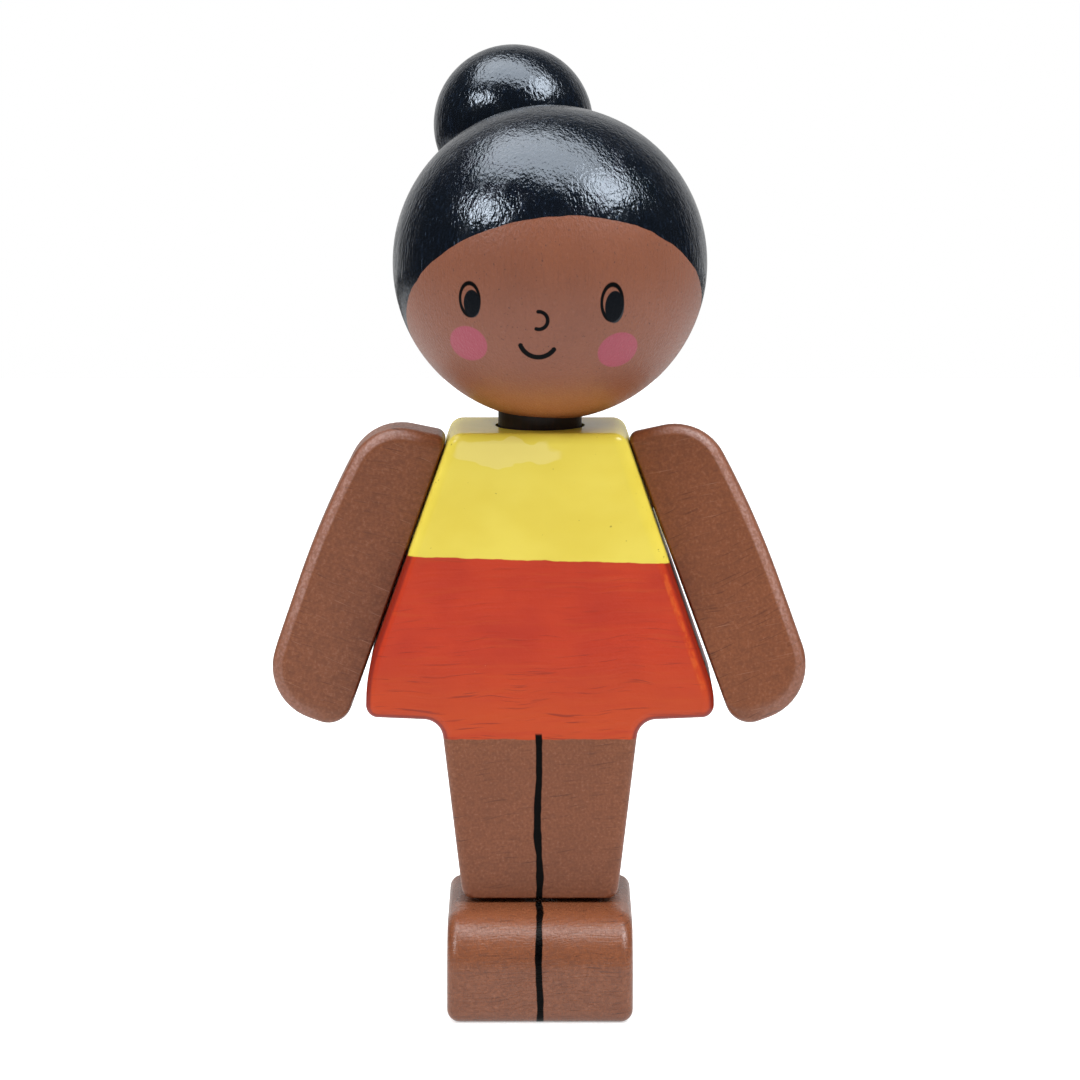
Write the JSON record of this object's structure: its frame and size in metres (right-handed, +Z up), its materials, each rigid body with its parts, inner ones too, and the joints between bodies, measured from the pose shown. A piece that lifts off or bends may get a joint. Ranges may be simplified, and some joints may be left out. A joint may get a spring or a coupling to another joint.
{
  "type": "wooden toy figure",
  "caption": "Small painted wooden doll with a ball head, hair bun, flared dress board and foot block; the head turns and the arms swing.",
  "frame": {"origin": "on the sole of the foot block, under the middle of the body board's thickness and width", "axes": "+Z up, -Y towards the side that the face looks to, +X to the right of a viewer in front of the face"},
  "size_m": [0.0513, 0.0415, 0.0905],
  "materials": {
    "dress_paint": "satin paint on wood: yellow top, red-orange skirt, brown legs",
    "skin_paint": "satin brown paint on wood",
    "head_paint": "satin brown paint with a dark hair cap and a simple painted face",
    "hair_paint": "glossy blue-black paint on wood",
    "neck_paint": "dark brown paint on a dowel",
    "bare_wood": "bare beech dowel"
  },
  "bodies": {
    "torso": {"body_block": "dress_paint", "foot_block": "skin_paint", "foot_dowel_left": "bare_wood", "foot_dowel_right": "bare_wood"},
    "head": {"neck_dowel": "neck_paint", "head_ball": "head_paint", "bun_ball": "hair_paint", "bun_dowel": "bare_wood"},
    "left_arm": {"left_arm": "skin_paint", "left_shoulder_peg": "bare_wood"},
    "right_arm": {"right_arm": "skin_paint", "right_shoulder_peg": "bare_wood"}
  },
  "joints": [
    {"name": "head_turn", "type": "hinge", "parent": "torso", "child": "head", "pos_m": [0, 0, 0.0552], "axis": [0, 0, 1], "continuous": true},
    {"name": "left_arm_swing", "type": "hinge", "parent": "torso", "child": "left_arm", "pos_m": [-0.01081, 0, 0.04918], "axis": [-0.9419, 0, 0.3358], "range_deg": [-125, 125]},
    {"name": "right_arm_swing", "type": "hinge", "parent": "torso", "child": "right_arm", "pos_m": [0.01047, 0, 0.04923], "axis": [-0.9377, 0, -0.3473], "range_deg": [-133, 117]}
  ]
}
